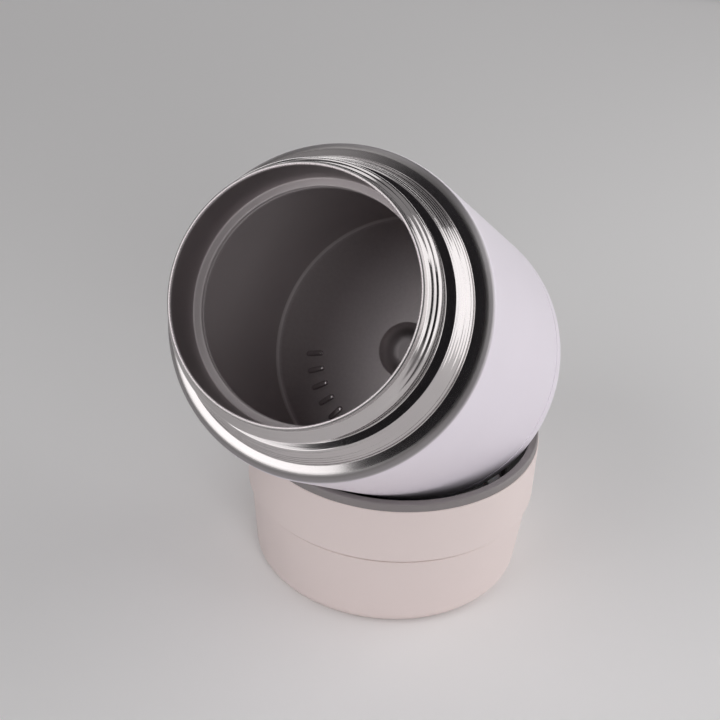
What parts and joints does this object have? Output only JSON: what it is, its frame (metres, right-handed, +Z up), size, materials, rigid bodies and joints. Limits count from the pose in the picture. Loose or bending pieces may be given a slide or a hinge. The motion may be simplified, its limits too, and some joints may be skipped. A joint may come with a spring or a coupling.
{
  "type": "insulated food jar",
  "caption": "Double-walled steel food jar with a rolled neck, leaning in its upturned two-part screw lid.",
  "frame": {"origin": "middle of the flat face that the upturned lid stands on", "axes": "+Z up along the lid's axis; the jar leans in the YZ plane with its mouth towards -Y; X is across"},
  "size_m": [0.0994, 0.1573, 0.1742],
  "materials": {
    "shell_coat": "pearl satin over steel, neck bare and polished",
    "vessel_steel": "fine blasted satin",
    "base_coat": "pearl satin",
    "floor_steel": "as rolled",
    "seal_bead": "fused bead",
    "getter_tin": "dull",
    "foil": "bright foil",
    "cap_white": "matt moulded",
    "collar_white": "matt moulded",
    "liner_grey": "matt moulded",
    "gasket_silicone": "satin silicone",
    "foam": "closed-cell foam",
    "seal_silicone": "satin silicone"
  },
  "bodies": {
    "top_cap": {"top_cap": "cap_white"},
    "lid_collar": {"lid_collar": "collar_white", "thread_liner": "liner_grey", "lid_gasket": "gasket_silicone", "lid_insulation": "foam", "cap_seal": "seal_silicone"},
    "jar": {"outer_shell": "shell_coat", "inner_vessel": "vessel_steel", "base_cap": "base_coat", "vacuum_floor": "floor_steel", "vacuum_seal": "seal_bead", "getter": "getter_tin", "foil_wrap": "foil"}
  },
  "joints": [
    {"name": "collar_lift", "type": "slide", "parent": "top_cap", "child": "lid_collar", "axis": [0, 0, 1], "range_m": [0, 0.06]},
    {"name": "jar_lift", "type": "slide", "parent": "lid_collar", "child": "jar", "axis": [0, 0, 1], "range_m": [0, 0.15]}
  ]
}
